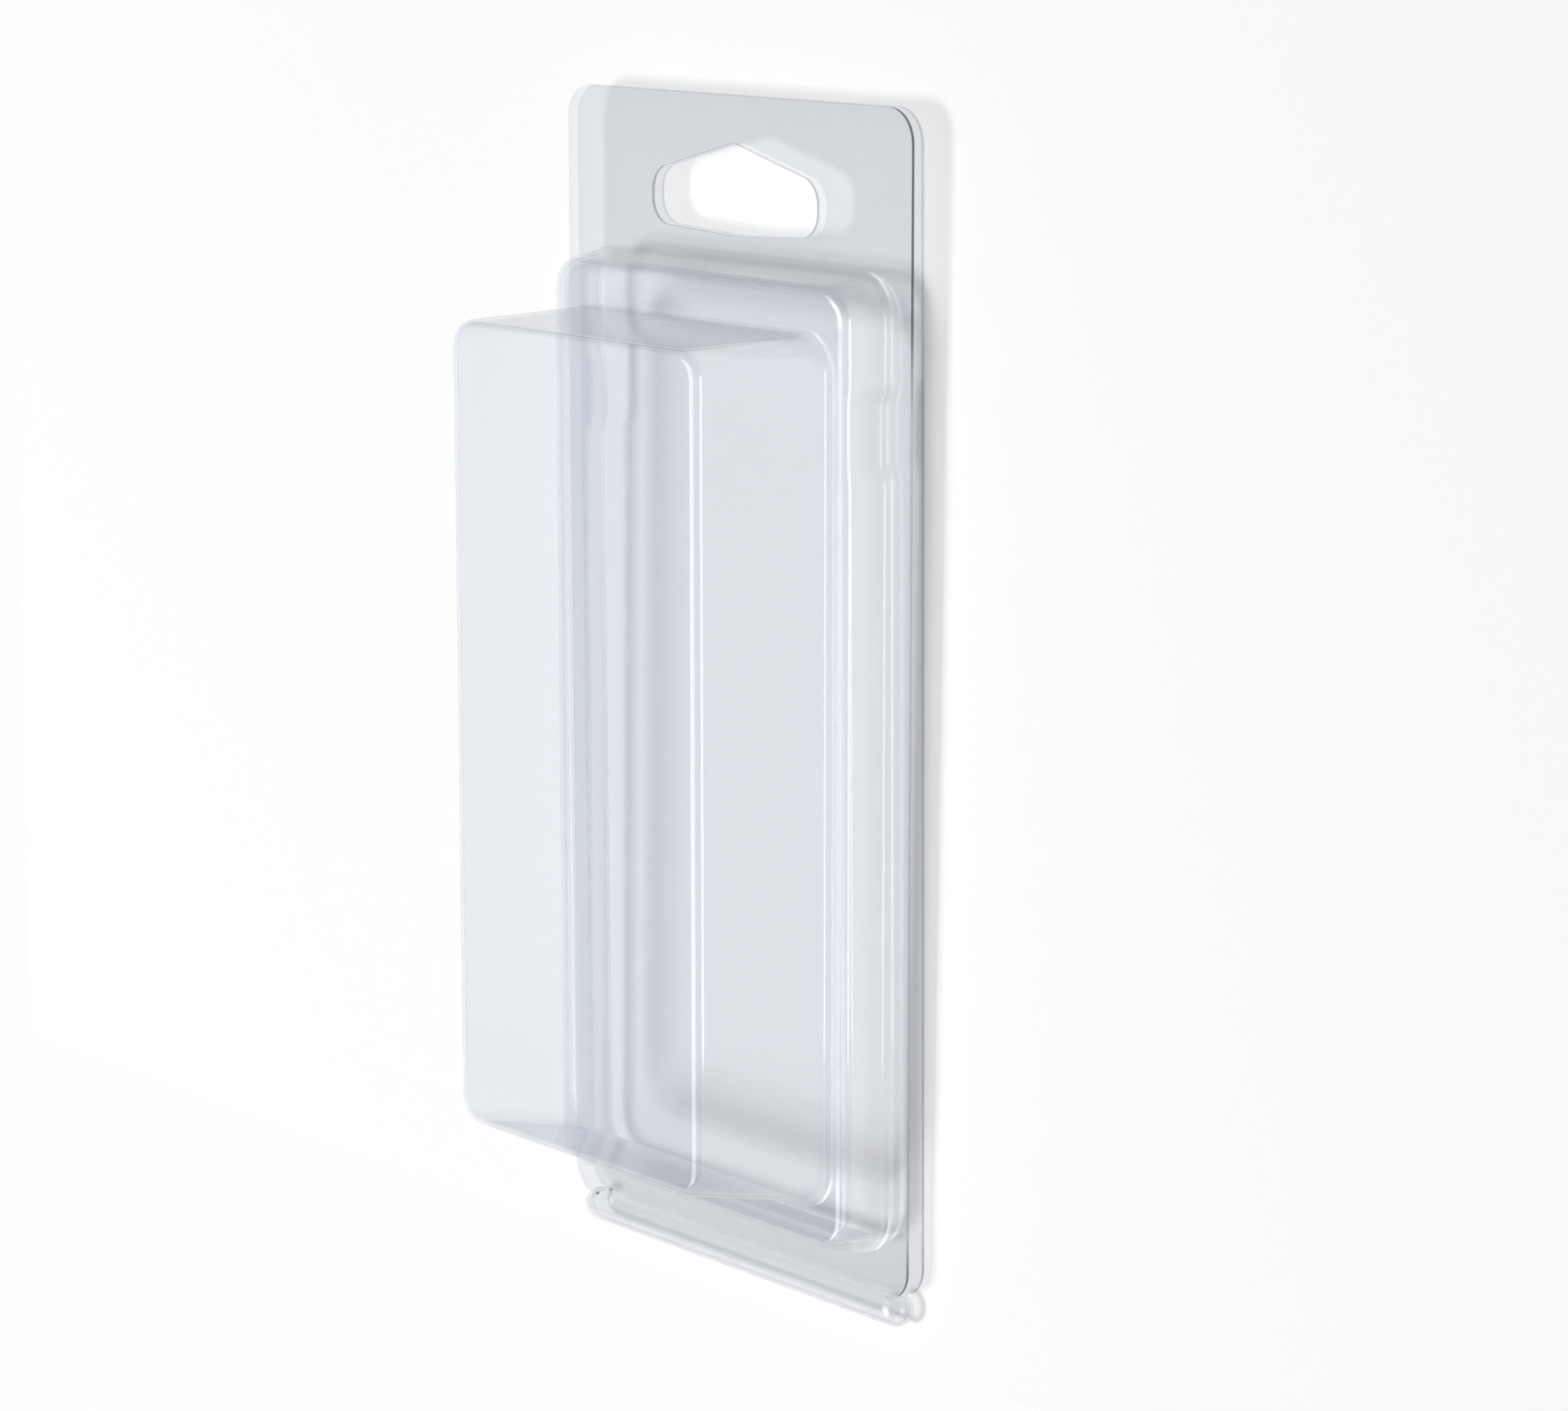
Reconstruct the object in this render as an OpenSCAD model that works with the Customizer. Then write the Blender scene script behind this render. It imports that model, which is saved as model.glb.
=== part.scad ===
// Clear clamshell pack, thermoformed from one thin sheet and folded shut along a bead at its foot.
// Millimetres. X runs across the pack, -Y is its front and Z is up. The origin is where a shop hook
// bears: under the peak of the hang hole, midway between the header sheets of the two halves.
// The bead holds the halves further apart at the foot, so the back half leans in towards the header.

/* [Sheet] */
// Thickness of the formed sheet
sheet = 0.4; // [0.3:0.05:0.6]
// Thickness over both halves at the hang hole when the pack is shut
header_t = 1.9; // [1.6:0.1:2.4]
// Thickness over both halves at the fold
foot_t = 3; // [2.4:0.1:3.4]

/* [Outline] */
// Width over the flanges
pack_w = 66.5; // [65:0.5:90]
// Height of the header above the step's top edge
header_h = 21.2; // [20:0.1:40]
// Corner radius of the header
header_r = 4.2; // [2:0.1:8]
// Height of the flange below the step's bottom edge
foot_h = 6.4; // [6:0.1:12]
// Corner radius of the flange at the foot
foot_r = 4; // [2:0.1:6]

/* [Hang hole] */
// Width of the hang hole
hole_w = 32; // [26:0.5:40]
// Height of the hang hole from its bottom to its peak
hole_h = 11.5; // [10.5:0.1:12.5]
// Height of the hole's roof, from its shoulders to its peak
hole_roof = 4.1; // [3:0.1:5]
// How far the hole's bottom edge bows down in the middle
hole_bow = 0.8; // [0.2:0.1:1.2]
// Distance from the hole's peak to the header's top edge
hole_to_top = 5.8; // [4:0.1:7]
// Radius of the hole's peak
hole_peak_r = 1.5; // [0.5:0.1:4]
// Radius of the hole's side corners
hole_side_r = 3.2; // [1:0.1:3.4]

/* [Step] */
// Width of the step at its front edge
step_w = 57; // [54:0.5:58]
// Height of the step at its front edge
step_h = 119.2; // [114:0.1:160]
// Depth of the step in front of the flange
step_d = 6.4; // [5:0.1:10]
// Draft of the step's walls, from the front edge to the flange
step_draft = 1; // [0.6:0.1:1.5]
// Corner radius of the step
step_r = 4.5; // [3.5:0.1:8]
// Radius of the step's front edge
step_edge_r = 1.2; // [0.8:0.1:1.6]
// Radius where the step's walls meet the flange
step_root_r = 0.8; // [0.6:0.1:2]

/* [Pocket] */
// Width of the pocket at its front face
pocket_w = 48.6; // [30:0.1:50]
// Height of the pocket at its front face
pocket_h = 103; // [60:0.5:104]
// Depth of the pocket in front of the step
pocket_d = 19.3; // [10:0.1:40]
// Distance from the step's top edge to the pocket's top edge
pocket_drop = 6.4; // [5:0.1:7]
// Draft of the pocket's side walls
pocket_draft = 1.6; // [1:0.1:1.8]
// Draft of the pocket's top wall
pocket_top_draft = 0.5; // [0.3:0.1:1.5]
// Draft of the pocket's bottom wall
pocket_foot_draft = 4.5; // [1:0.1:5]
// Corner radius of the pocket
pocket_r = 3.6; // [3:0.1:10]
// Radius of the pocket's front edge
pocket_edge_r = 1.2; // [0.8:0.1:2.5]
// Radius where the pocket's walls meet the step
pocket_root_r = 0.8; // [0.5:0.1:1]

/* [Friction lock] */
// How far the step's side walls are drawn in at the flange along the lock
lock_draw = 0.8; // [0.2:0.1:0.9]
// Distance from the step's top edge to the lock
lock_from_top = 11.5; // [9:0.5:40]
// Length of the lock down the step's side
lock_length = 12.5; // [10:0.5:40]
// Length over which the wall runs in to the lock
lock_blend = 3; // [1:0.5:5]
// Clearance between the nested steps of the two halves
nest_gap = 0.35; // [0.25:0.05:0.5]

/* [Hinge bead] */
// Radius of the bead along the foot
bead_r = 2.2; // [2:0.1:3]
// Distance from the side of the flange to the end of the bead
bead_inset = 1.3; // [0.5:0.1:6]
// Clearance between the two halves at the fold line
fold_gap = 0.1; // [0.05:0.05:0.2]

/* [Hidden] */
$fn = 48;

corner_steps = 6;
edge_steps = 4;
lock_steps = 4;

// Planes across the depth: the front half's flange, step and pocket, and the fold through the bead
front_y = -header_t / 2;
step_y = front_y - step_d;
pocket_y = step_y - pocket_d;
fold_y = front_y + foot_t / 2;

// Levels up the pack, down from the peak of the hang hole
header_top = hole_to_top;
step_top = header_top - header_h;
step_bottom = step_top - step_h;
pocket_top = step_top - pocket_drop;
pocket_bottom = pocket_top - pocket_h;
flange_bottom = step_bottom - foot_h;

// The bead's round wall takes over from the flange's outer face at flange_bottom
bead_z = flange_bottom - sqrt(bead_r * bead_r - foot_t * foot_t / 4);
bead_end = pack_w / 2 - bead_inset - bead_r;

// The back half is drawn upright and then leans in about the outer skin of the bead
hinge_z = bead_z - bead_r;
lean = atan((foot_t - header_t) / -hinge_z);
back_y = fold_y + foot_t / 2 - sheet;

// A section is [half width, bottom, top, radius of the lower corners, radius of the upper corners]
outline = [pack_w / 2, flange_bottom, header_top, foot_r, header_r];
step_front = [step_w / 2, step_bottom, step_top, step_r, step_r];
step_root = grown(step_front, step_draft);
pocket_front = [pocket_w / 2, pocket_bottom, pocket_top, pocket_r, pocket_r];
pocket_root = [
    pocket_w / 2 + pocket_draft,
    pocket_bottom - pocket_foot_draft,
    pocket_top + pocket_top_draft,
    pocket_r + pocket_draft,
    pocket_r + pocket_draft
];
// The back half's step nests inside the front half's, one sheet and one clearance further in
nest_front = grown(step_front, -sheet - nest_gap);
nest_root = grown(step_root, -sheet - nest_gap);
nest_y = step_y + sheet + nest_gap + tan(lean) * (step_top - hinge_z);

// The lock's place along the straight stretch of the step's sides, as shares of that stretch
side_length = step_h - 2 * step_r;
lock_high = 1 - (lock_from_top - step_r) / side_length;
lock_low = lock_high - lock_length / side_length;
lock_run = lock_blend / side_length;

// Points along a side as [share of its length, share of the lock's draw]
lock_points = concat(
    [for (i = [0:lock_steps]) [lock_low + lock_run * i / lock_steps, eased(i / lock_steps)]],
    [for (i = [lock_steps:-1:0]) [lock_high - lock_run * i / lock_steps, eased(i / lock_steps)]]
);

function eased(k) = k * k * (3 - 2 * k);

// A section moved outwards by grow on every side
function grown(section, grow) = section + grow * [1, -1, 1, 1, 1];

function arc(x, z, r, start, steps) = [
    for (i = [0:steps])
        let (a = start + 90 * i / steps)
        [x + r * cos(a), z + r * sin(a)]
];

// A section's outline in the plane y, from its lower right corner round, drawn in along the locks
function ring(section, y, draw) =
    let (
        w = section[0],
        low_r = section[3],
        high_r = section[4],
        low = section[1] + low_r,
        high = section[2] - high_r,
        side = [for (p = lock_points) [w - draw * p[1], low + (high - low) * p[0]]],
        last = len(side) - 1,
        points = concat(
            arc(w - low_r, low, low_r, -90, corner_steps),
            side,
            arc(w - high_r, high, high_r, 0, corner_steps),
            arc(high_r - w, high, high_r, 90, corner_steps),
            [for (i = [last:-1:0]) [-side[i][0], side[i][1]]],
            arc(low_r - w, low, low_r, 180, corner_steps)
        )
    )
    [for (p = points) [p[0], y, p[1]]];

// One ring of a drafted block, at the depth y and grown outwards; the draw is full at its root
function block_ring(block, y, grow) =
    let (share = (y - block[2]) / (block[3] - block[2]))
    ring(grown(block[0] * (1 - share) + block[1] * share, grow), y, block[4] * share);

// A block's front edge, rounded with radius r about a centre that both faces of the sheet share
function edge_rings(block, r, inside) = [
    for (i = [0:edge_steps])
        let (a = 90 - 90 * i / edge_steps, skin_r = r - inside)
        block_ring(block, block[2] + r - skin_r * sin(a), skin_r * cos(a) - r)
];

// The hollow round where a block's wall meets the face that it rises from
function root_rings(block, r, inside) = [
    for (i = [0:edge_steps])
        let (a = 90 * i / edge_steps, skin_r = r + inside)
        block_ring(block, block[3] - r + skin_r * sin(a), r - skin_r * cos(a))
];

// A block is [front section, root section, front plane, root plane, draw of its side locks]
pocket_block = [pocket_front, pocket_root, pocket_y, step_y, 0];
step_block = [step_front, step_root, step_y, front_y, lock_draw];
nest_block = [nest_front, nest_root, nest_y, back_y, lock_draw];

// One face of each half's sheet, from the middle of its front out to the cut edge of the flange
function front_skin(inside) = concat(
    edge_rings(pocket_block, pocket_edge_r, inside),
    root_rings(pocket_block, pocket_root_r, inside),
    edge_rings(step_block, step_edge_r, inside),
    root_rings(step_block, step_root_r, inside),
    [ring(outline, front_y + inside, 0)]
);

function back_skin(inside) = concat(
    edge_rings(nest_block, step_edge_r, inside),
    root_rings(nest_block, step_root_r, inside),
    [ring(outline, back_y + inside, 0)]
);

function reversed(list) = [for (i = [len(list) - 1:-1:0]) list[i]];

// A solid through a run of rings with the same number of points, closed by its first and last ring
module loft(rings) {
    n = len(rings[0]);
    last = len(rings) - 1;
    polyhedron(
        points = [for (r = rings, p = r) p],
        faces = concat(
            [[for (i = [n - 1:-1:0]) i]],
            [
                for (k = [0:last - 1], i = [0:n - 1])
                    let (j = (i + 1) % n, a = k * n, b = a + n)
                    each [[a + i, a + j, b + j], [a + i, b + j, b + i]]
            ],
            [[for (i = [0:n - 1]) last * n + i]]
        )
    );
}

// A flat outline whose corners are rounded, each with its own radius
function rounded(points, radii, steps) = [
    for (i = [0:len(points) - 1])
        let (
            n = len(points),
            at = points[i],
            to_last = unit(points[(i + n - 1) % n] - at),
            to_next = unit(points[(i + 1) % n] - at),
            half = acos(to_last * to_next) / 2,
            centre = at + unit(to_last + to_next) * radii[i] / sin(half),
            start = at + to_last * radii[i] / tan(half) - centre,
            turn = sign(cross(to_next, to_last)) * (180 - 2 * half)
        )
        for (k = [0:steps])
            let (a = turn * k / steps)
            centre + [start[0] * cos(a) - start[1] * sin(a), start[0] * sin(a) + start[1] * cos(a)]
];

function unit(v) = v / norm(v);

// The hang hole: a low roof over round sides and a slightly bowed bottom edge, its peak at the origin
module hang_hole() {
    side = hole_w / 2;
    foot = hole_bow - hole_h;
    corners = [
        [0, 0], [-side, -hole_roof], [-side, foot], [0, -hole_h], [side, foot], [side, -hole_roof]
    ];
    radii = [hole_peak_r, hole_side_r, hole_side_r, hole_w, hole_side_r, hole_side_r];
    rotate([90, 0, 0])
        linear_extrude(height = 4 * foot_t, center = true)
            polygon(rounded(corners, radii, corner_steps));
}

// A round bar along X with ball ends
module capsule(r) {
    rotate([0, 90, 0])
        cylinder(r = r, h = 2 * bead_end, center = true);
    for (side = [-1, 1])
        translate([side * bead_end, 0, 0])
            sphere(r = r);
}

// Half of the hinge bead, on the side that facing names: -1 for the front and 1 for the back
module bead_half(facing) {
    inner_y = foot_t / 2 - sheet;
    translate([0, fold_y, bead_z])
        difference() {
            capsule(bead_r);
            capsule(bead_r - sheet);
            // The mouth between the two flanges
            translate([-pack_w / 2, -inner_y, 0])
                cube([pack_w, 2 * inner_y, 2 * bead_r]);
            // The other half
            translate([-pack_w / 2, facing < 0 ? -fold_gap / 2 : -2 * bead_r + fold_gap / 2, -2 * bead_r])
                cube([pack_w, 2 * bead_r, 4 * bead_r]);
        }
}

// The front half: header and flange, the step, and the pocket that holds the goods
module front_shell() {
    color("lightsteelblue", 0.5) {
        difference() {
            loft(concat(front_skin(0), reversed(front_skin(sheet))));
            hang_hole();
        }
        bead_half(-1);
    }
}

// The back half: the same outline and hang hole, with a step that nests in the front half's
module back_shell() {
    color("lightgray", 0.5)
    translate([0, fold_y, hinge_z])
    rotate([lean, 0, 0])
    translate([0, -fold_y, -hinge_z]) {
        difference() {
            loft(concat(back_skin(0), reversed(back_skin(sheet))));
            hang_hole();
        }
        bead_half(1);
    }
}

front_shell();
back_shell();
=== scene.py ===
import math

import bmesh
import bpy
from mathutils import Matrix, Vector


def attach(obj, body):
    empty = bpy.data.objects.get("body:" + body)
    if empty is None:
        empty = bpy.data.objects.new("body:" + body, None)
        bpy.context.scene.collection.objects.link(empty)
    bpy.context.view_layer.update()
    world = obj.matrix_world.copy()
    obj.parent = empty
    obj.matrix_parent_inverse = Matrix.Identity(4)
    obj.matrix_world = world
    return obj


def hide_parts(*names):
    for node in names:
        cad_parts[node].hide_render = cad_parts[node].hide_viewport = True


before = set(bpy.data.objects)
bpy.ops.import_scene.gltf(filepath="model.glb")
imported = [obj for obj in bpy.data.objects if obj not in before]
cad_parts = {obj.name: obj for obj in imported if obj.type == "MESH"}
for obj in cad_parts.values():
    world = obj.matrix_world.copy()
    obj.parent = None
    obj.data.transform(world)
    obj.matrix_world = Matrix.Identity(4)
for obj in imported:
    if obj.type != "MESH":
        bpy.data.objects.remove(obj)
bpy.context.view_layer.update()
scene = bpy.context.scene

# Lengths are written in millimetres, as on the pack's drawing, and turned to metres last
mm = 0.001

# The camera stands to the pack's right and a little above it, as for a shop listing
cameraPlan = {
    "lookAt": (9.81, -0.95, -69.04),
    "azimuth": 50,
    "elevation": 10.79,
    "distance": 589,
    "lens": 108.86,
    "sensor": 36,
    "clip": (10, 50000),
}


def towards(azimuth, elevation):
    a, e = math.radians(azimuth), math.radians(elevation)
    return Vector((math.sin(a) * math.cos(e), -math.cos(a) * math.cos(e), math.sin(e)))


def aimAt(thing, target, azimuth, elevation, distance):
    back = towards(azimuth, elevation)
    thing.rotation_mode = "QUATERNION"
    thing.location = (Vector(target) + back * distance) * mm
    thing.rotation_quaternion = (-back).to_track_quat("-Z", "Y")


def addCamera(plan):
    camera = bpy.data.objects.new("photoCamera", bpy.data.cameras.new("photoCamera"))
    camera.data.sensor_fit = "HORIZONTAL"
    camera.data.sensor_width = plan["sensor"]
    camera.data.lens = plan["lens"]
    camera.data.clip_start, camera.data.clip_end = plan["clip"][0] * mm, plan["clip"][1] * mm
    aimAt(camera, plan["lookAt"], plan["azimuth"], plan["elevation"], plan["distance"])
    scene.collection.objects.link(camera)
    scene.camera = camera


addCamera(cameraPlan)
print("camera placed")


def linear(hexColour):
    # sRGB, as a colour picker shows it, turned to the linear light that the shaders work in
    channels = [int(hexColour[i:i + 2], 16) / 255 for i in (1, 3, 5)]
    return [c / 12.92 if c <= 0.04045 else ((c + 0.055) / 1.055) ** 2.4 for c in channels] + [1]


def thinned(hexColour, strength):
    # One face of a thin sheet takes only a small share of the colour that a thick block would show
    return [1 - strength * (1 - c) for c in linear(hexColour)]


def addNode(tree, kind, settings=None, **inputs):
    # Inputs are sockets to link or values to set, named as the node's own inputs are with _ for a space,
    # or by number, such as in0
    node = tree.nodes.new(kind)
    for name, value in (settings or {}).items():
        setattr(node, name, value)
    for name, value in inputs.items():
        socket = node.inputs[int(name[2:])] if name.startswith("in") else node.inputs[name.replace("_", " ")]
        if isinstance(value, bpy.types.NodeSocket):
            tree.links.new(value, socket)
        else:
            socket.default_value = value
    return node


def newMaterial(name):
    material = bpy.data.materials.new(name)
    material.use_nodes = True
    material.node_tree.nodes.clear()
    return material, material.node_tree


# Clear rigid PVC, thermoformed. It is gauge film with a cool blue-grey cast. The eye gets a sharp but
# slightly wavy gloss, a faint milky haze, and a clearer wall where the film was drawn out deepest.
filmPlan = {
    "ior": 1.54,
    "roughness": 0.035,
    "tintStrength": 0.1,
    "flangeTint": "#C4C8D1",
    "drawnTint": "#DDE4F0",
    "shadowTint": "#DEDEDE",
    "milk": "#DDE1E8",
    "haze": 0.01,
    "edgeOnHaze": 0.2,
    "edgeOnPower": 3,
    "waveLength": 9,
    "waveHeight": 0.02,
    "waveStretch": 0.35,
    "flangeY": -1.5,
    "drawnY": -5,
}


def clearFilm(name, plan):
    flange, drawnOut, shadow = (
        thinned(plan[part + "Tint"], plan["tintStrength"]) for part in ("flange", "drawn", "shadow"))
    material, tree = newMaterial(name)
    place = addNode(tree, "ShaderNodeTexCoord").outputs["Object"]
    depth = addNode(tree, "ShaderNodeSeparateXYZ", Vector=place).outputs["Y"]
    drawn = addNode(
        tree, "ShaderNodeMapRange", {"interpolation_type": "SMOOTHSTEP"}, Value=depth,
        From_Min=plan["flangeY"] * mm, From_Max=plan["drawnY"] * mm,
    ).outputs["Result"]
    tint = addNode(
        tree, "ShaderNodeMix", {"data_type": "RGBA"}, in0=drawn, in6=flange, in7=drawnOut,
    ).outputs[2]
    # Slow waves of the cooled film, stretched up the walls as it was drawn
    pulled = addNode(
        tree, "ShaderNodeMapping", Vector=place, Scale=(1, 1, plan["waveStretch"]),
    ).outputs["Vector"]
    waves = addNode(
        tree, "ShaderNodeTexNoise", Vector=pulled, Scale=1 / (plan["waveLength"] * mm), Detail=1.0,
    ).outputs["Fac"]
    normal = addNode(
        tree, "ShaderNodeBump", Height=waves, Strength=1.0, Distance=plan["waveHeight"] * mm,
    ).outputs["Normal"]
    # Both faces of the film mirror alike, so the one met from inside gets the inverse index
    behind = addNode(tree, "ShaderNodeNewGeometry").outputs["Backfacing"]
    index = addNode(
        tree, "ShaderNodeMapRange", Value=behind, To_Min=plan["ior"], To_Max=1 / plan["ior"],
    ).outputs["Result"]
    mirrored = addNode(tree, "ShaderNodeFresnel", IOR=index, Normal=normal).outputs["Fac"]
    # Shadow rays meet a paler tint than the eye sees: a lighter shadow set in the shader, for the light from
    # all round that fills the shadow of clear film, so its shadow is paler than the film itself
    shaded = addNode(tree, "ShaderNodeLightPath").outputs["Is Shadow Ray"]
    tint = addNode(
        tree, "ShaderNodeMix", {"data_type": "RGBA"}, in0=shaded, in6=tint, in7=shadow,
    ).outputs[2]
    through = addNode(tree, "ShaderNodeBsdfTransparent", Color=tint).outputs["BSDF"]
    gloss = addNode(
        tree, "ShaderNodeBsdfAnisotropic", Color=(1, 1, 1, 1), Roughness=plan["roughness"], Normal=normal,
    ).outputs["BSDF"]
    film = addNode(tree, "ShaderNodeMixShader", in0=mirrored, in1=through, in2=gloss).outputs["Shader"]
    milk = addNode(tree, "ShaderNodeBsdfDiffuse", Color=linear(plan["milk"])).outputs["BSDF"]
    # Seen edge-on, light crosses more film and the haze adds up
    aslant = addNode(tree, "ShaderNodeLayerWeight", Blend=0.5).outputs["Facing"]
    steep = addNode(
        tree, "ShaderNodeMath", {"operation": "POWER"}, in0=aslant, in1=plan["edgeOnPower"],
    ).outputs[0]
    share = addNode(
        tree, "ShaderNodeMapRange", Value=steep, To_Min=plan["haze"], To_Max=plan["edgeOnHaze"],
    ).outputs["Result"]
    sheet = addNode(tree, "ShaderNodeMixShader", in0=share, in1=film, in2=milk).outputs["Shader"]
    addNode(tree, "ShaderNodeOutputMaterial", Surface=sheet)
    return material


# The cut edge of the same film, painted as a thin grey line with a satin face: painted shade for the light
# that runs along inside the sheet and is lost there. The painted shade is darkest beside the header and the
# fold. Seen from behind, through the sheet, the trimmed edge hardly shows. The punched edge of the hole is
# the same grey all round.
cutPlan = {
    "clear": "#F2F4F6",
    "through": "#9BA1A9",
    "face": "#666D76",
    "cover": 0.5,
    "roughness": 0.35,
    "ior": 1.54,
    "headerFade": (-32, -18),
    "footFade": (-130, -138),
}


def cutEdge(name, plan, header, middle, foot, behind):
    # How strong the painted shade of the cut is at three heights, and seen from behind
    material, tree = newMaterial(name)
    height = addNode(
        tree, "ShaderNodeSeparateXYZ", Vector=addNode(tree, "ShaderNodeTexCoord").outputs["Object"],
    ).outputs["Z"]
    paintedShade = middle
    for (start, end), value in ((plan["headerFade"], header), (plan["footFade"], foot)):
        change = addNode(
            tree, "ShaderNodeMapRange", {"interpolation_type": "SMOOTHSTEP"}, Value=height,
            From_Min=min(start, end) * mm, From_Max=max(start, end) * mm,
            To_Min=0 if end > start else value - middle, To_Max=value - middle if end > start else 0,
        ).outputs["Result"]
        paintedShade = addNode(tree, "ShaderNodeMath", {"operation": "ADD"}, in0=paintedShade, in1=change).outputs[0]
    back = addNode(tree, "ShaderNodeNewGeometry").outputs["Backfacing"]
    paintedShade = addNode(tree, "ShaderNodeMix", in0=back, in2=paintedShade, in3=behind).outputs[0]
    clear = addNode(tree, "ShaderNodeBsdfTransparent", Color=linear(plan["clear"])).outputs["BSDF"]
    through = addNode(tree, "ShaderNodeBsdfTransparent", Color=linear(plan["through"])).outputs["BSDF"]
    face = addNode(
        tree, "ShaderNodeBsdfPrincipled", Base_Color=linear(plan["face"]), Roughness=plan["roughness"],
        IOR=plan["ior"],
    ).outputs["BSDF"]
    cut = addNode(tree, "ShaderNodeMixShader", in0=plan["cover"], in1=through, in2=face).outputs["Shader"]
    edge = addNode(tree, "ShaderNodeMixShader", in0=paintedShade, in1=clear, in2=cut).outputs["Shader"]
    addNode(tree, "ShaderNodeOutputMaterial", Surface=edge)
    return material


filmFront = clearFilm("thermoformedPvcFront", filmPlan)
filmBack = clearFilm("thermoformedPvcBack", filmPlan)
trimFront = cutEdge("trimmedPvcEdgeFront", cutPlan, header=1.0, middle=0.15, foot=0.9, behind=0.0)
trimBack = cutEdge("trimmedPvcEdgeBack", cutPlan, header=0.25, middle=0.35, foot=0.5, behind=0.0)
punchFront = cutEdge("punchedPvcEdgeFront", cutPlan, header=0.45, middle=0.45, foot=0.45, behind=0.4)
punchBack = cutEdge("punchedPvcEdgeBack", cutPlan, header=0.12, middle=0.12, foot=0.12, behind=0.0)
print("materials made")


# The two halves. A section is (half width, bottom, top, lower corner radius, upper corner radius).
# Both are drawn upright with depths counted from the plane of the fold, the front one's towards -Y.
outlinePlan = {
    "section": (33.25, -141.0, 5.8, 4.0, 4.2),
    "flangeY": -1.5,
    "sheet": 0.4,
    "cornerSteps": 10,
    "edgeSteps": 6,
    "ringGap": 0.6,  # flat strip kept round the root's radius
    "bridgeOffset": 1,
    "weld": 0.03,
    "sharpAngle": 40,
    "holeHalf": 16,
    "holeHeight": 11.5,
    "holeRoof": 4.1,
    "holeBow": 0.8,
    "holePeakRadius": 1.5,
    "holeSideRadius": 3.2,
    "holeFootRadius": 32,
    "beadRadius": 2.2,
    "beadLevel": -142.609,
    "beadEnd": 29.75,
    "beadSteps": 40,
    "beadEndSteps": 8,
    "beadEndRound": 0.998,  # share of the radius, as a full one would end in a point
    "foldGap": 0.05,  # from either half to the plane of the fold
    "foldY": 0.55,
    "hingeLevel": -144.809,
}

# The friction lock draws the side walls in at their root, between its low and its high end
lockPlan = {"draw": 0.8, "inside": 26.2, "low": -39.4, "high": -26.9, "blend": 3, "steps": 6}

# Lengths nearer than the first are the same, and a cut catches a vertex nearer to it than the second
near, touching = 0.01, 0.00001

# A rise goes from its root, on the face it stands on, to its front edge, each with its own radius
frontPlan = {
    "rises": [
        {"root": (29.5, -135.6, -14.4, 5.5, 5.5), "rootY": -1.5, "rootRadius": 0.8,
         "edge": (28.5, -134.6, -15.4, 4.5, 4.5), "edgeY": -7.9, "edgeRadius": 1.2},
        {"root": (25.9, -129.3, -21.3, 5.2, 5.2), "rootY": -7.9, "rootRadius": 0.8,
         "edge": (24.3, -124.8, -21.8, 3.6, 3.6), "edgeY": -27.2, "edgeRadius": 1.2},
    ],
    "mirrored": False,
    "lean": 0,
    "film": filmFront,
    "trimmed": trimFront,
    "punched": punchFront,
}

# The back half is drawn from behind, where its rise is a hollow, and then mirrored and leaned in
backPlan = {
    "rises": [
        {"root": (28.4, -134.5, -15.5, 4.4, 4.4), "rootY": -1.5, "rootRadius": 1.2,
         "edge": (27.35, -133.45, -16.55, 3.35, 3.35), "edgeY": 5.767, "edgeRadius": 0.8},
    ],
    "mirrored": True,
    "lean": 0.43522,
    "film": filmBack,
    "trimmed": trimBack,
    "punched": punchBack,
}


def grown(section, by):
    return section[0] + by, section[1] - by, section[2] + by, section[3] + by, section[4] + by


def bevelCorners(bm, corners, radius, steps):
    # The radius is met by sliding along both sides by radius / tan(half the corner)
    for corner in corners:
        sides = [(e.other_vert(corner).co - corner.co).normalized() for e in corner.link_edges]
        slide = radius / math.tan(sides[0].angle(sides[1]) / 2)
        bmesh.ops.bevel(
            bm, geom=[corner], affect="VERTICES", offset=slide, offset_type="ABSOLUTE",
            segments=steps, profile=0.5, material=-1, clamp_overlap=False,
        )


def each(parts):
    # Every part once and in a fixed order, which a set would not keep
    return list(dict.fromkeys(parts))


def loopFrom(bm, before):
    # Keeps only the outline of the face that was made last, as a loop of edges
    made = [face for face in bm.faces if face not in before]
    edges = each(edge for face in made for edge in face.edges)
    bmesh.ops.delete(bm, geom=made, context="FACES_ONLY")
    return edges


def addLoop(bm, section, depth, steps):
    half, bottom, top, lowRadius, highRadius = section
    middle = (top + bottom) / 2
    before = set(bm.faces)
    corners = bmesh.ops.create_grid(bm, x_segments=1, y_segments=1, size=1)["verts"]
    bmesh.ops.scale(bm, vec=(half, (top - bottom) / 2, 1), verts=corners)
    bmesh.ops.rotate(bm, cent=(0, 0, 0), matrix=Matrix.Rotation(math.pi / 2, 3, "X"), verts=corners)
    bmesh.ops.translate(bm, vec=(0, depth, middle), verts=corners)
    low = [v for v in corners if v.co.z < middle]
    high = [v for v in corners if v.co.z > middle]
    bevelCorners(bm, low, lowRadius, steps)
    bevelCorners(bm, high, highRadius, steps)
    return loopFrom(bm, before)


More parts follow.
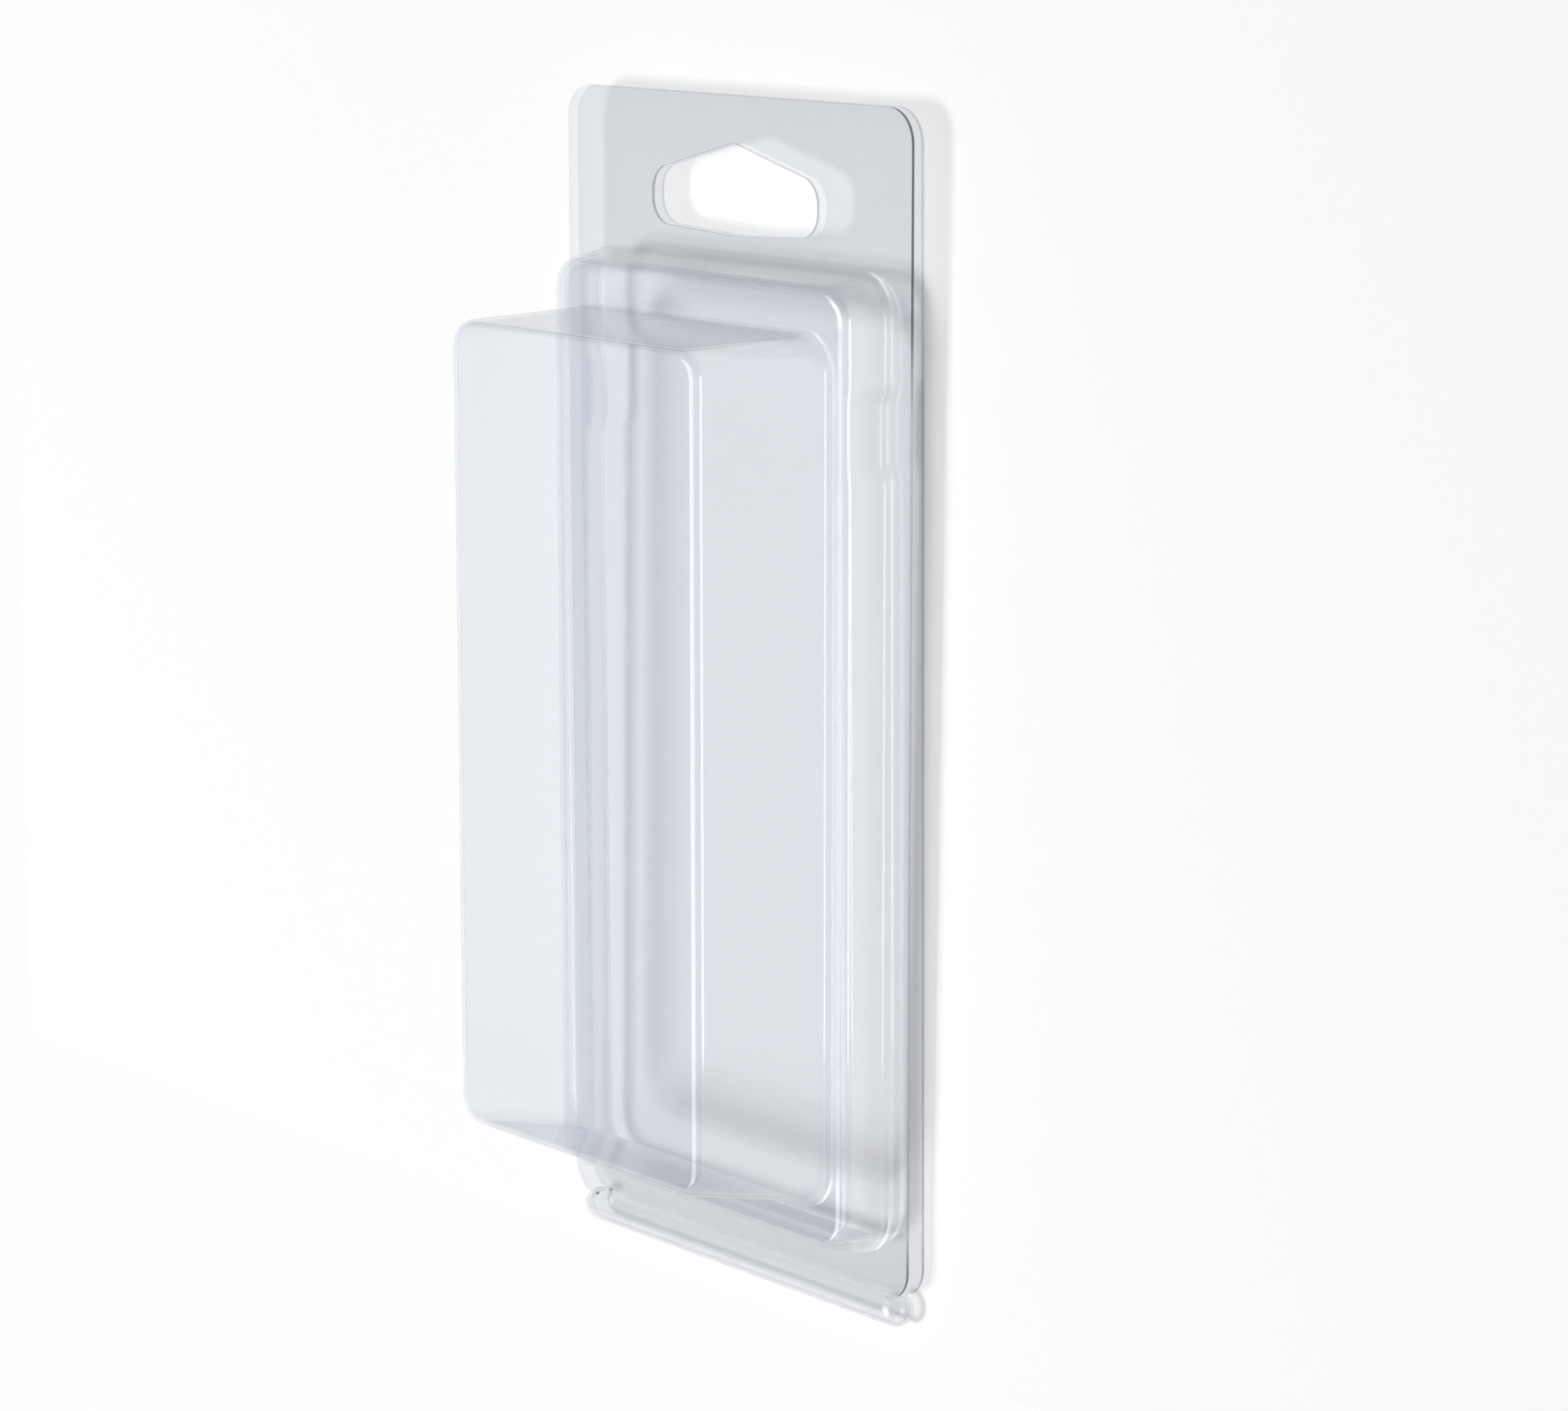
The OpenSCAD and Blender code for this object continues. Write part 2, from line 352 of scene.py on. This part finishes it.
def addHangHole(bm, plan):
    # A low roof over two upright sides and a slightly bowed foot, its peak at the origin
    before = set(bm.faces)
    side, eaves = plan["holeHalf"], -plan["holeRoof"]
    foot, low = plan["holeBow"] - plan["holeHeight"], -plan["holeHeight"]
    points = [(0, 0), (-side, eaves), (-side, foot), (0, low), (side, foot), (side, eaves)]
    corners = [bm.verts.new((x, plan["flangeY"], z)) for x, z in points]
    bm.faces.new(corners)
    peak, sides, lowest = corners[:1], corners[1:3] + corners[4:], corners[3:4]
    for chosen, radius in ((peak, "holePeakRadius"), (sides, "holeSideRadius"), (lowest, "holeFootRadius")):
        bevelCorners(bm, chosen, plan[radius], plan["cornerSteps"])
    return loopFrom(bm, before)


def cutAcross(bm, faces, place, normal, clear):
    geom = faces + each(e for f in faces for e in f.edges) + each(v for f in faces for v in f.verts)
    bmesh.ops.bisect_plane(bm, geom=geom, dist=touching, plane_co=place, plane_no=normal, clear_outer=clear)


def addBead(bm, plan):
    # Half of the bead along the fold: a round bar with ball ends, cut open at the middle and the mouth
    radius, level, end = plan["beadRadius"], plan["beadLevel"], plan["beadEnd"]
    mouth, mouthHalf = plan["section"][1], plan["section"][0] - plan["section"][3]
    others = set(bm.faces)
    bar = bmesh.ops.create_cone(
        bm, segments=plan["beadSteps"], cap_ends=True, radius1=radius, radius2=radius,
        depth=2 * (end + radius),
        matrix=Matrix.Translation((0, 0, level)) @ Matrix.Rotation(math.pi / 2, 4, "Y"),
    )["verts"]
    rims = each(e for v in bar for e in v.link_edges if abs(e.verts[0].co.x - e.verts[1].co.x) < near)
    bmesh.ops.bevel(
        bm, geom=rims, affect="EDGES", offset=radius * plan["beadEndRound"], segments=plan["beadEndSteps"],
        profile=0.5, material=-1, clamp_overlap=False,
    )
    for place, normal, clear in (
        ((0, -plan["foldGap"], 0), (0, 1, 0), True),
        ((0, 0, mouth), (0, 0, 1), False),
        ((-mouthHalf, 0, 0), (1, 0, 0), False),
        ((mouthHalf, 0, 0), (1, 0, 0), False),
    ):
        cutAcross(bm, [f for f in bm.faces if f not in others], place, normal, clear)
    inMouth = [
        f for f in bm.faces if f not in others
        and f.calc_center_median().z > mouth and abs(f.calc_center_median().x) < mouthHalf
    ]
    bmesh.ops.delete(bm, geom=inMouth, context="FACES")


def buildHalf(name, plan, outline, lock):
    bm = bmesh.new()
    steps = outline["cornerSteps"]
    mark = bm.edges.layers.int.new("mark")
    first = plan["rises"][0]

    # Two loops and the walls between them for each rise, bridged on to the loop that it rises from.
    # A loop is bridged a little deeper and then put back, as two loops in one plane may be joined crosswise.
    ring = addLoop(
        bm, grown(first["root"], first["rootRadius"] + outline["ringGap"]), outline["flangeY"], steps)
    marked = [(ring, 1, 0)]
    for rise in plan["rises"]:
        for end in ("root", "edge"):
            loop = addLoop(bm, rise[end], rise[end + "Y"] - outline["bridgeOffset"], steps)
            bmesh.ops.bridge_loops(bm, edges=marked[-1][0] + loop)
            bmesh.ops.translate(
                bm, vec=(0, outline["bridgeOffset"], 0), verts=each(v for e in loop for v in e.verts))
            marked.append((loop, len(marked) + 1, rise[end + "Radius"]))
    bmesh.ops.contextual_create(bm, geom=marked[-1][0])
    for loop, number, _ in marked:
        for e in loop:
            e[mark] = number

    # The side walls are cut where the lock starts and ends, and drawn in at their root, eased at both ends
    for i in range(lock["steps"] + 1):
        run = lock["blend"] * i / lock["steps"]
        for level in (lock["low"] + run, lock["high"] - run):
            walls = [f for f in bm.faces if all(abs(v.co.x) > lock["inside"] for v in f.verts)]
            cutAcross(bm, walls, (0, 0, level), (0, 0, 1), False)
    for v in each(v for e in bm.edges if e[mark] == 2 for v in e.verts):
        share = max(0, min(1, min(v.co.z - lock["low"], lock["high"] - v.co.z) / lock["blend"]))
        if abs(v.co.x) > first["root"][0] - near:
            v.co.x -= math.copysign(lock["draw"] * share * share * (3 - 2 * share), v.co.x)

    for _, number, radius in marked[1:]:
        bmesh.ops.bevel(
            bm, geom=[e for e in bm.edges if e[mark] == number], affect="EDGES", offset=radius,
            segments=outline["edgeSteps"], profile=0.5, material=-1, clamp_overlap=False,
        )
        for e in bm.edges:
            if e[mark] == number:
                e[mark] = 0

    # The header and the flange lie in one flat face round the rise, with the hang hole in it
    edges = [e for e in bm.edges if e[mark] == 1]
    edges += addLoop(bm, outline["section"], outline["flangeY"], steps)
    edges += addHangHole(bm, outline)
    bmesh.ops.triangle_fill(bm, use_beauty=True, edges=edges, normal=(0, -1, 0))
    addBead(bm, outline)
    bmesh.ops.remove_doubles(bm, verts=bm.verts[:], dist=outline["weld"])

    # The largest face of the header shows which way is out
    bmesh.ops.recalc_face_normals(bm, faces=bm.faces[:])
    flat = max(bm.faces, key=lambda f: f.calc_area() if f.calc_center_median().z > 0 else 0)
    if flat.normal.y > 0:
        bmesh.ops.reverse_faces(bm, faces=bm.faces[:])

    # One film thickness everywhere. The faces that close it along the cut get the edge material, but not
    # those along the bead, where the film runs on into the other half
    skin = set(bm.faces)
    rim = [e for e in bm.edges if e.is_boundary]
    bmesh.ops.solidify(bm, geom=bm.faces[:], thickness=outline["sheet"])
    for e in rim:
        for f in e.link_faces:
            middle = f.calc_center_median()
            if f not in skin and middle.y < -2 * outline["sheet"]:
                low, high = -outline["holeHeight"] - near, near
                punched = abs(middle.x) < outline["holeHalf"] + near and low < middle.z < high
                f.material_index = 2 if punched else 1
    if plan["mirrored"]:
        bmesh.ops.scale(bm, vec=(1, -1, 1), verts=bm.verts[:])
        bmesh.ops.reverse_faces(bm, faces=bm.faces[:])
    bmesh.ops.translate(bm, vec=(0, outline["foldY"], 0), verts=bm.verts[:])
    bmesh.ops.rotate(
        bm, cent=(0, outline["foldY"], outline["hingeLevel"]),
        matrix=Matrix.Rotation(math.radians(plan["lean"]), 3, "X"), verts=bm.verts[:],
    )
    bmesh.ops.scale(bm, vec=(mm, mm, mm), verts=bm.verts[:])

    mesh = bpy.data.meshes.new(name)
    for f in bm.faces:
        f.smooth = True
    bm.to_mesh(mesh)
    bm.free()
    mesh.set_sharp_from_angle(angle=math.radians(outline["sharpAngle"]))
    half = bpy.data.objects.new(name, mesh)
    scene.collection.objects.link(half)
    for kind in ("film", "trimmed", "punched"):
        half.data.materials.append(plan[kind])
    shading = half.modifiers.new("evenShading", "WEIGHTED_NORMAL")
    shading.keep_sharp = True
    return half


frontHalf = buildHalf("frontHalfFilm", frontPlan, outlinePlan, lockPlan)
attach(frontHalf, "front_half")
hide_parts("front_shell")
print("front half formed:", len(frontHalf.data.polygons), "faces")

backHalf = buildHalf("backHalfFilm", backPlan, outlinePlan, lockPlan)
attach(backHalf, "back_half")
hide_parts("back_shell")
print("back half formed:", len(backHalf.data.polygons), "faces")


# The stage: a white card that the pack hangs against, and a pale floor far below
stagePlan = {
    "white": "#FDFDFD",
    "wallTopUp": 0.14,
    "floorTopUp": 0.893,
    "wallHalf": 190,
    "wallFoot": (10, 2.8, -150),
    "wallTop": (10, 4.7, 48),
    "floorHalf": 800,
    "floorFront": (0, -200, -320),
    "floorBack": (0, 1200, -320),
}


def whiteCard(name, plan, topUp, backIsClear):
    # Matt white card that keeps the pack's shadow. The eye and the gloss see it topped up to the page's
    # white. The one that the pack hangs against isn't there from behind.
    material, tree = newMaterial(name)
    matt = addNode(tree, "ShaderNodeBsdfDiffuse", Color=linear(plan["white"])).outputs["BSDF"]
    path = addNode(tree, "ShaderNodeLightPath")
    seen = addNode(
        tree, "ShaderNodeMath", {"operation": "ADD"}, in0=path.outputs["Is Camera Ray"],
        in1=path.outputs["Is Glossy Ray"],
    ).outputs[0]
    share = addNode(tree, "ShaderNodeMath", {"operation": "MULTIPLY"}, in0=seen, in1=topUp).outputs[0]
    glow = addNode(
        tree, "ShaderNodeEmission", Color=linear(plan["white"]), Strength=share,
    ).outputs["Emission"]
    card = addNode(tree, "ShaderNodeAddShader", in0=matt, in1=glow).outputs["Shader"]
    if backIsClear:
        behind = addNode(tree, "ShaderNodeNewGeometry").outputs["Backfacing"]
        nothing = addNode(tree, "ShaderNodeBsdfTransparent").outputs["BSDF"]
        card = addNode(tree, "ShaderNodeMixShader", in0=behind, in1=card, in2=nothing).outputs["Shader"]
    addNode(tree, "ShaderNodeOutputMaterial", Surface=card)
    return material


def addCard(name, half, foot, top, material):
    # One face, turned about X so that it runs from the middle of its foot to the middle of its top
    foot, top = Vector(foot) * mm, Vector(top) * mm
    run = top - foot
    bm = bmesh.new()
    corners = bmesh.ops.create_grid(bm, x_segments=1, y_segments=1, size=1)["verts"]
    bmesh.ops.scale(bm, vec=(half * mm, run.length / 2, 1), verts=corners)
    turn = Matrix.Rotation(math.atan2(run.z, run.y), 3, "X")
    bmesh.ops.rotate(bm, cent=(0, 0, 0), matrix=turn, verts=corners)
    bmesh.ops.translate(bm, vec=(foot + top) / 2, verts=corners)
    mesh = bpy.data.meshes.new(name)
    bm.to_mesh(mesh)
    bm.free()
    card = bpy.data.objects.new(name, mesh)
    card.data.materials.append(material)
    scene.collection.objects.link(card)


def buildStage(plan):
    wall = whiteCard("whiteWallCard", plan, plan["wallTopUp"], True)
    floor = whiteCard("whiteFloorCard", plan, plan["floorTopUp"], False)
    addCard("wallCard", plan["wallHalf"], plan["wallFoot"], plan["wallTop"], wall)
    addCard("floorCard", plan["floorHalf"], plan["floorFront"], plan["floorBack"], floor)


buildStage(stagePlan)


# Soft studio light. The world fills from all round, and the key is a softbox low at the left. What the
# gloss mirrors is a pale room with brighter windows.
lightPlan = {
    "seen": "#FDFDFD",
    "fillAbove": 0.1,
    "fillBelow": 0.12,
    "roomLow": "#D6DBE3",
    "roomHigh": "#5F656E",
    "roomTurn": (16, 40),
    "roomFloor": "#868C94",
    "floorTurn": (-18, -15),
    "windows": [
        {"azimuth": -28, "halfWidth": 15, "elevation": -10, "halfHeight": 24, "strength": 5},
        {"azimuth": 94, "halfWidth": 14, "elevation": -10, "halfHeight": 24, "strength": 5},
    ],
    "softAcross": 0.15,
    "softAlong": 0.25,
    "key": {"azimuth": -14, "elevation": -7, "distance": 2500, "size": (600, 600), "watts": 47.8},
}


def addWindow(tree, way, level, window, plan, below):
    # Adds one bright patch, soft at its borders, to the brightness below it
    aside = addNode(
        tree, "ShaderNodeVectorMath", {"operation": "DOT_PRODUCT"}, in0=level,
        in1=towards(window["azimuth"], 0),
    ).outputs["Value"]
    across = addNode(
        tree, "ShaderNodeMapRange", {"interpolation_type": "SMOOTHSTEP"}, Value=aside,
        From_Min=math.cos(math.radians(window["halfWidth"] * (1 + plan["softAcross"]))),
        From_Max=math.cos(math.radians(window["halfWidth"] * (1 - plan["softAcross"]))),
    ).outputs["Result"]
    height = addNode(tree, "ShaderNodeSeparateXYZ", Vector=way).outputs["Z"]
    off = addNode(
        tree, "ShaderNodeMath", {"operation": "SUBTRACT"}, in0=height,
        in1=math.sin(math.radians(window["elevation"])),
    ).outputs[0]
    off = addNode(tree, "ShaderNodeMath", {"operation": "ABSOLUTE"}, in0=off).outputs[0]
    along = addNode(
        tree, "ShaderNodeMapRange", {"interpolation_type": "SMOOTHSTEP"}, Value=off,
        From_Min=math.sin(math.radians(window["halfHeight"])) * (1 + plan["softAlong"]),
        From_Max=math.sin(math.radians(window["halfHeight"])) * (1 - plan["softAlong"]),
    ).outputs["Result"]
    patch = addNode(tree, "ShaderNodeMath", {"operation": "MULTIPLY"}, in0=across, in1=along).outputs[0]
    return addNode(
        tree, "ShaderNodeMath", {"operation": "MULTIPLY_ADD"}, in0=patch, in1=window["strength"], in2=below,
    ).outputs[0]


def buildWorld(plan):
    world = bpy.data.worlds.new("studio")
    scene.world = world
    world.use_nodes = True
    tree = world.node_tree
    tree.nodes.clear()
    path = addNode(tree, "ShaderNodeLightPath")
    way = addNode(tree, "ShaderNodeTexCoord").outputs["Generated"]
    # The level part of each direction, to place the windows by, and its height, to paint the walls by
    level = addNode(
        tree, "ShaderNodeVectorMath", {"operation": "MULTIPLY"}, in0=way, in1=(1, 1, 0),
    ).outputs[0]
    level = addNode(tree, "ShaderNodeVectorMath", {"operation": "NORMALIZE"}, in0=level).outputs[0]
    bright = 0.0
    for window in plan["windows"]:
        bright = addWindow(tree, way, level, window, plan, bright)
    height = addNode(tree, "ShaderNodeSeparateXYZ", Vector=way).outputs["Z"]
    paint = linear(plan["roomFloor"])
    for colour, turn in (("roomLow", "floorTurn"), ("roomHigh", "roomTurn")):
        start, end = (math.sin(math.radians(elevation)) for elevation in plan[turn])
        blend = addNode(
            tree, "ShaderNodeMapRange", {"interpolation_type": "SMOOTHSTEP"}, Value=height,
            From_Min=start, From_Max=end,
        ).outputs["Result"]
        paint = addNode(
            tree, "ShaderNodeMix", {"data_type": "RGBA"}, in0=blend, in6=paint, in7=linear(plan[colour]),
        ).outputs[2]
    walls = addNode(tree, "ShaderNodeBackground", Color=paint, Strength=1.0).outputs[0]
    panes = addNode(tree, "ShaderNodeBackground", Color=(1, 1, 1, 1), Strength=bright).outputs[0]
    room = addNode(tree, "ShaderNodeAddShader", in0=walls, in1=panes).outputs["Shader"]
    seen = addNode(tree, "ShaderNodeBackground", Color=linear(plan["seen"]), Strength=1.0).outputs[0]
    soft = addNode(
        tree, "ShaderNodeMapRange", Value=height, From_Min=-1,
        To_Min=plan["fillBelow"], To_Max=plan["fillAbove"],
    ).outputs["Result"]
    light = addNode(tree, "ShaderNodeBackground", Color=(1, 1, 1, 1), Strength=soft).outputs[0]
    for ray, look in (("Is Glossy Ray", room), ("Is Camera Ray", seen)):
        light = addNode(tree, "ShaderNodeMixShader", in0=path.outputs[ray], in1=light, in2=look).outputs[0]
    addNode(tree, "ShaderNodeOutputWorld", Surface=light)


def addSoftbox(name, plan):
    light = bpy.data.lights.new(name, "AREA")
    light.shape = "RECTANGLE"
    light.size, light.size_y = plan["size"][0] * mm, plan["size"][1] * mm
    light.energy = plan["watts"]
    lamp = bpy.data.objects.new(name, light)
    scene.collection.objects.link(lamp)
    aimAt(lamp, cameraPlan["lookAt"], plan["azimuth"], plan["elevation"], plan["distance"])
    lamp.visible_camera = False
    lamp.visible_glossy = False


buildWorld(lightPlan)
addSoftbox("keySoftbox", lightPlan["key"])
print("stage and light placed")

# A ray crosses many faces of clear film before it reaches the wall
scene.cycles.transparent_max_bounces = 48
scene.view_settings.view_transform = "Standard"

bpy.context.view_layer.update()
